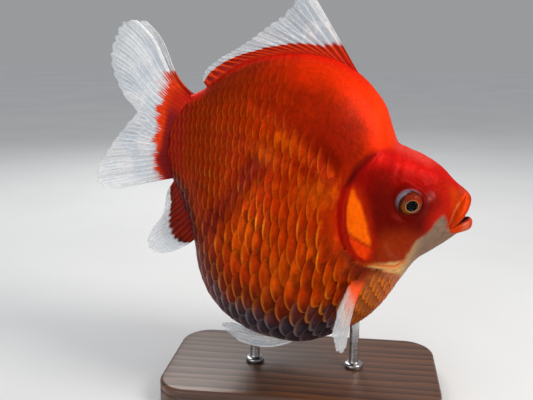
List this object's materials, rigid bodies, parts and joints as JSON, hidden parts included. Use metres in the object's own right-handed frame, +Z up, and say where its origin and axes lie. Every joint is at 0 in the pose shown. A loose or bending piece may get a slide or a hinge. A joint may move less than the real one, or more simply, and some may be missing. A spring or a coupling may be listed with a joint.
{
  "type": "ryukin goldfish model on a stand",
  "caption": "Life-size still model of a deep-bodied, high-backed Ryukin goldfish with a paired tail, pitched nose down on two short rods over a flat wooden base.",
  "frame": {"origin": "centre of the stand base's underside, on the fish's middle plane", "axes": "+X forwards, the way the fish heads; +Y to the fish's left; +Z up, out of the floor"},
  "size_m": [0.1606, 0.1022, 0.1779],
  "materials": {
    "scaled_skin": "glossy orange-red scales",
    "head_skin": "glossy crimson skin",
    "cover_skin": "metallic orange gill cover",
    "lip_skin": "moist orange and pale lips",
    "fin_skin": "satin translucent fin",
    "eye_gloss": "wet gloss",
    "stand_wood": "satin dark wood",
    "stand_steel": "brushed"
  },
  "bodies": {
    "root": {"trunk": "scaled_skin", "tail_stalk": "scaled_skin", "head": "head_skin", "gill_cover_left": "cover_skin", "gill_cover_right": "cover_skin", "upper_jaw": "lip_skin", "lower_jaw": "lip_skin", "dorsal_fin": "fin_skin", "tail_fin_left": "fin_skin", "tail_fin_right": "fin_skin", "anal_fin_left": "fin_skin", "anal_fin_right": "fin_skin", "pelvic_fin_left": "fin_skin", "pelvic_fin_right": "fin_skin", "pectoral_fin_left": "fin_skin", "pectoral_fin_right": "fin_skin", "eye_left": "eye_gloss", "eye_right": "eye_gloss", "stand_base": "stand_wood", "stand_rod_front": "stand_steel", "stand_rod_rear": "stand_steel"}
  },
  "joints": []
}
